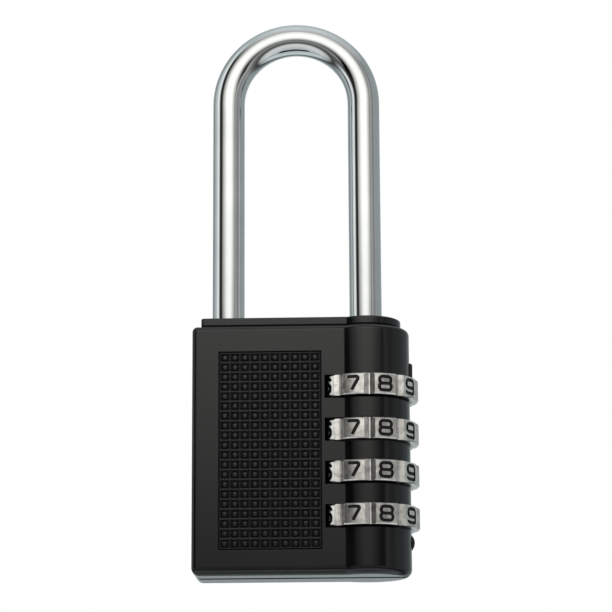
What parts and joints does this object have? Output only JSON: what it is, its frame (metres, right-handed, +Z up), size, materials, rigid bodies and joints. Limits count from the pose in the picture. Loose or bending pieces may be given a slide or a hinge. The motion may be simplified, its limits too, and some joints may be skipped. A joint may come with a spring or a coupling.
{
  "type": "combination padlock",
  "caption": "Number-dial combination padlock with a flat ribbed casing, side-mounted dials and a long round shackle.",
  "frame": {"origin": "on the flat base, midway between the shackle's two legs", "axes": "+X towards the dial side, -Y out of the front face, +Z up towards the shackle's bow"},
  "size_m": [0.0435, 0.02, 0.1114],
  "materials": {
    "black_casing": "gloss black paint on cast zinc",
    "black_grip": "gloss black paint on a ribbed plate",
    "black_core": "gloss black paint on cast zinc",
    "chrome_shackle": "polished chrome plate on steel",
    "nickel_dial": "satin nickel plate on cast zinc, numerals filled black",
    "brass_sleeve": "turned brass",
    "brass_seat": "turned brass",
    "steel_pins": "drawn steel",
    "spring_steel": "spring steel"
  },
  "bodies": {
    "case": {"front_shell": "black_casing", "rear_shell": "black_casing", "front_grip_panel": "black_grip", "rear_grip_panel": "black_grip", "lock_core": "black_core", "shell_dowels": "steel_pins", "keeper_pin": "steel_pins", "detent_comb": "spring_steel", "spring_seat": "brass_seat", "thrust_washer": "steel_pins", "reset_spring": "spring_steel", "shackle_spring": "spring_steel"},
    "shackle": {"shackle": "chrome_shackle"},
    "dial_1": {"dial_1": "nickel_dial", "clutch_sleeve_1": "brass_sleeve"},
    "dial_2": {"dial_2": "nickel_dial", "clutch_sleeve_2": "brass_sleeve"},
    "dial_3": {"dial_3": "nickel_dial", "clutch_sleeve_3": "brass_sleeve"},
    "dial_4": {"dial_4": "nickel_dial", "clutch_sleeve_4": "brass_sleeve"}
  },
  "joints": [
    {"name": "shackle_lift", "type": "slide", "parent": "case", "child": "shackle", "axis": [0, 0, 1], "range_m": [0, 0.00833], "deforming": ["shackle_spring"]},
    {"name": "dial_1_spin", "type": "hinge", "parent": "case", "child": "dial_1", "pos_m": [0.01343, 0, 0.03601], "axis": [0, 0, 1], "continuous": true},
    {"name": "dial_2_spin", "type": "hinge", "parent": "case", "child": "dial_2", "pos_m": [0.01343, 0, 0.02768], "axis": [0, 0, 1], "continuous": true},
    {"name": "dial_3_spin", "type": "hinge", "parent": "case", "child": "dial_3", "pos_m": [0.01343, 0, 0.01935], "axis": [0, 0, 1], "continuous": true},
    {"name": "dial_4_spin", "type": "hinge", "parent": "case", "child": "dial_4", "pos_m": [0.01343, 0, 0.01102], "axis": [0, 0, 1], "continuous": true}
  ]
}
